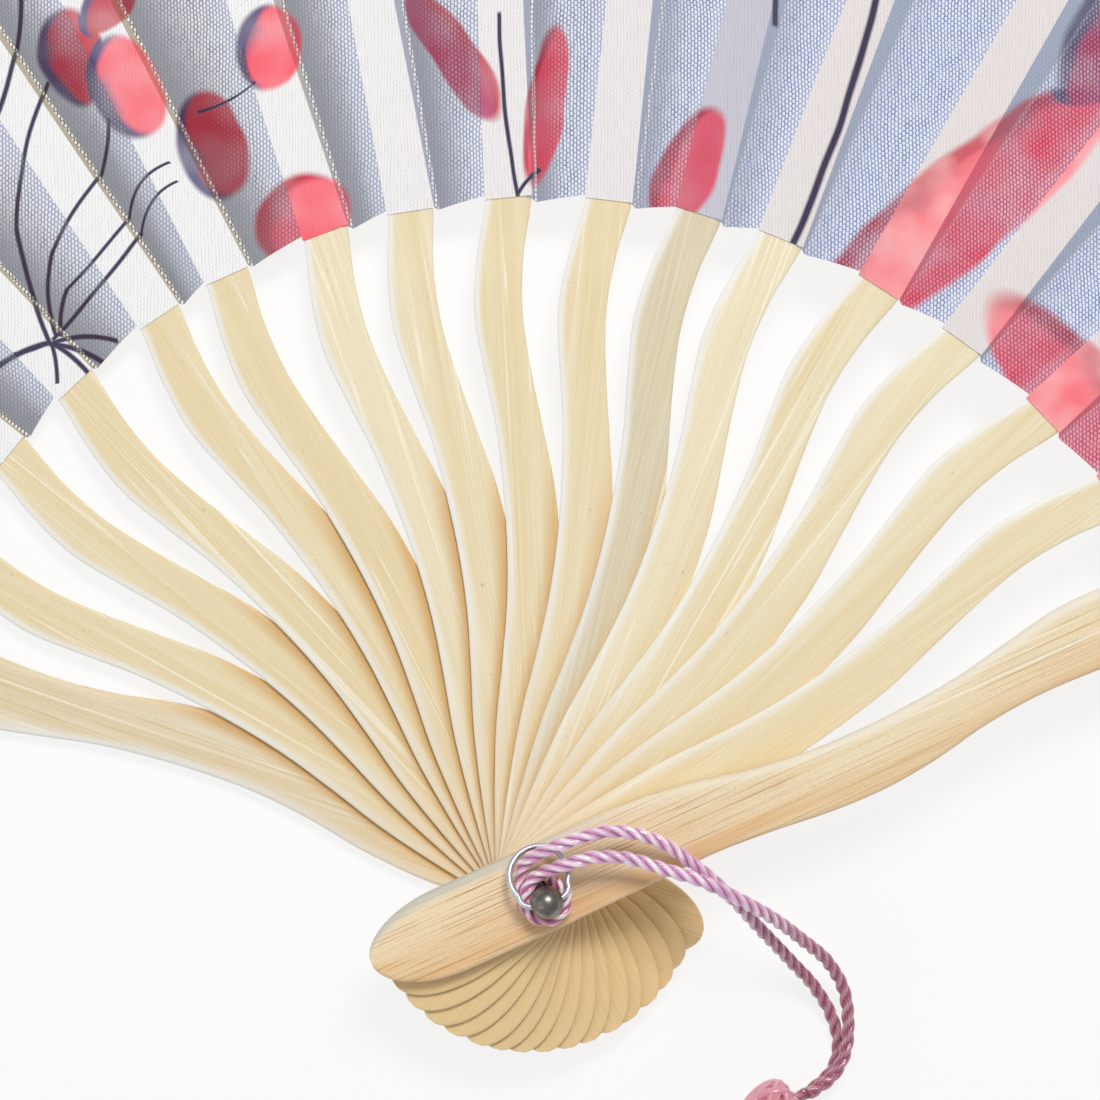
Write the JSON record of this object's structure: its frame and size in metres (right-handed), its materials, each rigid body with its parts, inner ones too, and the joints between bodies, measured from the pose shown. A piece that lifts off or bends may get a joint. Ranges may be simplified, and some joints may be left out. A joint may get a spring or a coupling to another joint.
{
  "type": "folding fan",
  "caption": "Open folding hand fan of overlapping wavy bamboo sticks on one pin, with a pleated cloth leaf, a small ring and a satin cord with a tassel.",
  "frame": {"origin": "on the pin's axis, at the flat outer face of its riveted end, which lies on the table with the back guard", "axes": "+Z along the pin, from the back guard to the front guard and the ball; +Y towards the middle of the open leaf; +X towards the front guard's side"},
  "size_m": [0.3576, 0.271, 0.0257],
  "materials": {
    "rib_bamboo": "smooth pale bamboo with fine straight grain",
    "guard_bamboo": "smooth golden bamboo with brown grain",
    "leaf_cloth": "woven cotton and linen, pale, printed with loose petals",
    "pin_steel": "dark polished steel",
    "ring_steel": "bright drawn wire",
    "cord_satin": "twisted satin cord, pink and lavender",
    "tassel_satin": "rose satin threads"
  },
  "bodies": {
    "front_guard": {"front_guard": "guard_bamboo", "leaf_pleat_16": "leaf_cloth", "pivot_pin": "pin_steel", "rivet_washer": "pin_steel", "cord_strand_outer": "cord_satin", "cord_strand_inner": "cord_satin", "tassel_knot": "tassel_satin", "tassel_head": "tassel_satin", "tassel_skirt": "tassel_satin"},
    "rib_15": {"rib_15": "rib_bamboo", "leaf_pleat_15": "leaf_cloth"},
    "rib_14": {"rib_14": "rib_bamboo", "leaf_pleat_14": "leaf_cloth"},
    "rib_13": {"rib_13": "rib_bamboo", "leaf_pleat_13": "leaf_cloth"},
    "rib_12": {"rib_12": "rib_bamboo", "leaf_pleat_12": "leaf_cloth"},
    "rib_11": {"rib_11": "rib_bamboo", "leaf_pleat_11": "leaf_cloth"},
    "rib_10": {"rib_10": "rib_bamboo", "leaf_pleat_10": "leaf_cloth"},
    "rib_09": {"rib_09": "rib_bamboo", "leaf_pleat_09": "leaf_cloth"},
    "rib_08": {"rib_08": "rib_bamboo", "leaf_pleat_08": "leaf_cloth"},
    "rib_07": {"rib_07": "rib_bamboo", "leaf_pleat_07": "leaf_cloth"},
    "rib_06": {"rib_06": "rib_bamboo", "leaf_pleat_06": "leaf_cloth"},
    "rib_05": {"rib_05": "rib_bamboo", "leaf_pleat_05": "leaf_cloth"},
    "rib_04": {"rib_04": "rib_bamboo", "leaf_pleat_04": "leaf_cloth"},
    "rib_03": {"rib_03": "rib_bamboo", "leaf_pleat_03": "leaf_cloth"},
    "rib_02": {"rib_02": "rib_bamboo", "leaf_pleat_02": "leaf_cloth"},
    "rib_01": {"rib_01": "rib_bamboo", "leaf_pleat_01": "leaf_cloth"},
    "back_guard": {"back_guard": "guard_bamboo"},
    "ring_bail": {"ring_bail": "ring_steel"}
  },
  "joints": [
    {"name": "rib_15_pivot", "type": "hinge", "parent": "front_guard", "child": "rib_15", "pos_m": [0, 0, 0.0095], "axis": [0, 0, 1], "range_deg": [-10.1, 0]},
    {"name": "rib_14_pivot", "type": "hinge", "parent": "rib_15", "child": "rib_14", "pos_m": [0, 0, 0.0095], "axis": [0, 0, 1], "range_deg": [-8.6, 0]},
    {"name": "rib_13_pivot", "type": "hinge", "parent": "rib_14", "child": "rib_13", "pos_m": [0, 0, 0.0095], "axis": [0, 0, 1], "range_deg": [-9.1, 0]},
    {"name": "rib_12_pivot", "type": "hinge", "parent": "rib_13", "child": "rib_12", "pos_m": [0, 0, 0.0095], "axis": [0, 0, 1], "range_deg": [-8.2, 0]},
    {"name": "rib_11_pivot", "type": "hinge", "parent": "rib_12", "child": "rib_11", "pos_m": [0, 0, 0.0095], "axis": [0, 0, 1], "range_deg": [-9.1, 0]},
    {"name": "rib_10_pivot", "type": "hinge", "parent": "rib_11", "child": "rib_10", "pos_m": [0, 0, 0.0095], "axis": [0, 0, 1], "range_deg": [-7.1, 0]},
    {"name": "rib_09_pivot", "type": "hinge", "parent": "rib_10", "child": "rib_09", "pos_m": [0, 0, 0.0095], "axis": [0, 0, 1], "range_deg": [-7.6, 0]},
    {"name": "rib_08_pivot", "type": "hinge", "parent": "rib_09", "child": "rib_08", "pos_m": [0, 0, 0.0095], "axis": [0, 0, 1], "range_deg": [-8.4, 0]},
    {"name": "rib_07_pivot", "type": "hinge", "parent": "rib_08", "child": "rib_07", "pos_m": [0, 0, 0.0095], "axis": [0, 0, 1], "range_deg": [-8.3, 0]},
    {"name": "rib_06_pivot", "type": "hinge", "parent": "rib_07", "child": "rib_06", "pos_m": [0, 0, 0.0095], "axis": [0, 0, 1], "range_deg": [-7.4, 0]},
    {"name": "rib_05_pivot", "type": "hinge", "parent": "rib_06", "child": "rib_05", "pos_m": [0, 0, 0.0095], "axis": [0, 0, 1], "range_deg": [-9.1, 0]},
    {"name": "rib_04_pivot", "type": "hinge", "parent": "rib_05", "child": "rib_04", "pos_m": [0, 0, 0.0095], "axis": [0, 0, 1], "range_deg": [-6.7, 0]},
    {"name": "rib_03_pivot", "type": "hinge", "parent": "rib_04", "child": "rib_03", "pos_m": [0, 0, 0.0095], "axis": [0, 0, 1], "range_deg": [-9.2, 0]},
    {"name": "rib_02_pivot", "type": "hinge", "parent": "rib_03", "child": "rib_02", "pos_m": [0, 0, 0.0095], "axis": [0, 0, 1], "range_deg": [-8.2, 0]},
    {"name": "rib_01_pivot", "type": "hinge", "parent": "rib_02", "child": "rib_01", "pos_m": [0, 0, 0.0095], "axis": [0, 0, 1], "range_deg": [-9.1, 0]},
    {"name": "back_guard_pivot", "type": "hinge", "parent": "rib_01", "child": "back_guard", "pos_m": [0, 0, 0.0095], "axis": [0, 0, 1], "range_deg": [-10.4, 0]},
    {"name": "ring_bail_swing", "type": "hinge", "parent": "front_guard", "child": "ring_bail", "pos_m": [0.00127, -0.00116, 0.0236], "axis": [0.9563, 0.2924, 0], "range_deg": [-8, 5]}
  ],
  "couplings": [
    {"joint": "rib_14_pivot", "follows": "rib_15_pivot", "ratio": 0.85148},
    {"joint": "rib_13_pivot", "follows": "rib_15_pivot", "ratio": 0.90099},
    {"joint": "rib_12_pivot", "follows": "rib_15_pivot", "ratio": 0.81188},
    {"joint": "rib_11_pivot", "follows": "rib_15_pivot", "ratio": 0.90099},
    {"joint": "rib_10_pivot", "follows": "rib_15_pivot", "ratio": 0.70297},
    {"joint": "rib_09_pivot", "follows": "rib_15_pivot", "ratio": 0.75247},
    {"joint": "rib_08_pivot", "follows": "rib_15_pivot", "ratio": 0.83168},
    {"joint": "rib_07_pivot", "follows": "rib_15_pivot", "ratio": 0.82178},
    {"joint": "rib_06_pivot", "follows": "rib_15_pivot", "ratio": 0.73267},
    {"joint": "rib_05_pivot", "follows": "rib_15_pivot", "ratio": 0.90099},
    {"joint": "rib_04_pivot", "follows": "rib_15_pivot", "ratio": 0.66336},
    {"joint": "rib_03_pivot", "follows": "rib_15_pivot", "ratio": 0.91089},
    {"joint": "rib_02_pivot", "follows": "rib_15_pivot", "ratio": 0.81188},
    {"joint": "rib_01_pivot", "follows": "rib_15_pivot", "ratio": 0.90099},
    {"joint": "back_guard_pivot", "follows": "rib_15_pivot", "ratio": 1.0297}
  ]
}
